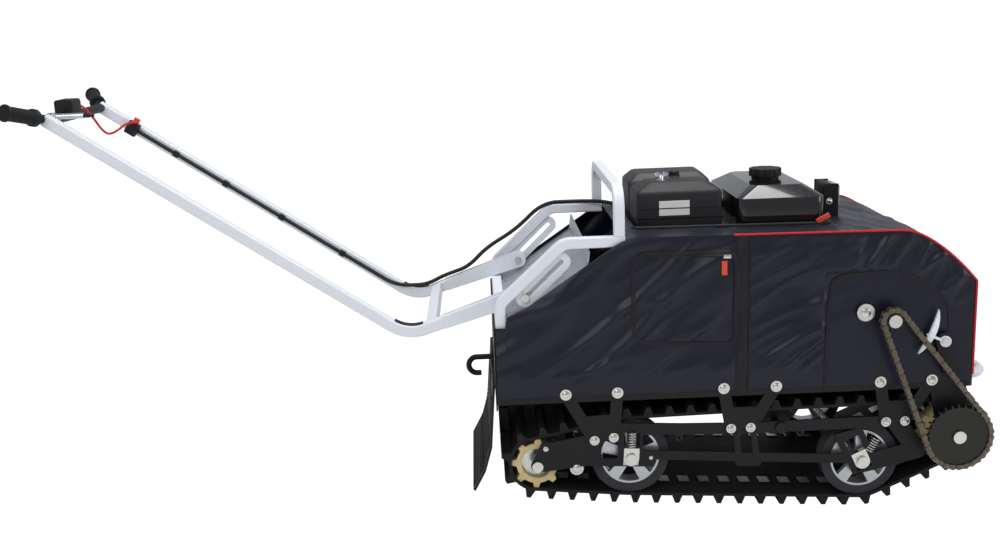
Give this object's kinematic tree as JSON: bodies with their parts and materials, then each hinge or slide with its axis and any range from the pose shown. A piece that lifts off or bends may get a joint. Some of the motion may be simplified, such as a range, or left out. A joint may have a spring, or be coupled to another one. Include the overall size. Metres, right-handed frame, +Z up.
{
  "type": "tracked snow tug",
  "caption": "Compact walk-behind tracked tug with a sprung rubber track, chain drive, fabric-covered engine body and a long folding handle.",
  "frame": {"origin": "on the ground under the middle of the bounding box", "axes": "+X forward, away from the handle; +Y to the left side; +Z up"},
  "size_m": [2.2793, 0.6298, 0.9277],
  "materials": {
    "track_rubber": "ribbed",
    "tyre": "satin",
    "cast_rim": "cast",
    "zinc": "plated",
    "spring_steel": "bright",
    "black_steel": "satin powder coat",
    "beige_plastic": "moulded",
    "black_plastic": "grained",
    "dark_steel": "oiled",
    "chain_steel": "oiled",
    "white_plastic": "smooth",
    "white_paint": "gloss powder coat",
    "galvanised": "galvanised",
    "cover_fabric": "coated woven nylon",
    "dark_metal": "matte",
    "dark_plastic": "matte",
    "gloss_black": "gloss",
    "lamp_glass": "clear lens",
    "flap_rubber": "ribbed",
    "grip_rubber": "matte",
    "silver": "polished",
    "red_plastic": "gloss",
    "cable_rubber": "smooth",
    "red_webbing": "woven"
  },
  "bodies": {
    "tug": {"track_belt": "track_rubber", "road_tyres": "tyre", "road_rims": "cast_rim", "road_axles": "zinc", "axle_blocks": "zinc", "suspension_springs": "spring_steel", "suspension_plates": "black_steel", "hangers": "black_steel", "cross_tubes": "black_steel", "idler_sprockets": "beige_plastic", "drive_sprockets": "beige_plastic", "idler_axle": "zinc", "upper_rollers": "black_plastic", "drive_axle": "zinc", "chain_sprocket_large": "dark_steel", "chain_sprocket_small": "dark_steel", "roller_chain": "chain_steel", "jackshaft": "zinc", "tensioner_stud": "zinc", "tensioner_lever": "black_steel", "tensioner_shoe": "white_plastic", "chassis_tub": "black_steel", "rear_frames": "white_paint", "frame_hoop": "white_paint", "rest_tube": "white_paint", "slope_panel": "galvanised", "cover_sides": "cover_fabric", "cover_top": "cover_fabric", "cover_nose": "cover_fabric", "engine_block": "dark_metal", "air_cleaner": "dark_plastic", "muffler_cover": "dark_metal", "fuel_tank": "gloss_black", "fuel_cap": "black_plastic", "headlight": "lamp_glass", "headlight_bracket": "black_steel", "front_bumper": "white_paint", "hitch_plate": "black_steel", "tow_hook": "zinc", "mudflap": "flap_rubber", "pivot_bolts": "zinc", "hinge_cable": "cable_rubber", "frame_cable": "cable_rubber"},
    "handle": {"handle_arms": "white_paint", "handle_tubes": "white_paint", "handle_cross_tube": "white_paint", "handlebar": "black_steel", "grips": "grip_rubber", "throttle": "silver", "control_pod": "black_plastic", "stop_switch": "black_plastic", "stop_button": "red_plastic", "handle_cable": "cable_rubber", "cable_clips": "black_plastic", "lanyard": "red_webbing"}
  },
  "joints": [
    {"name": "handle_fold", "type": "hinge", "parent": "tug", "child": "handle", "pos_m": [0.01165, 0, 0.50162], "axis": [0, 1, 0], "range_deg": [0, 135], "deforming": ["hinge_cable"]}
  ]
}
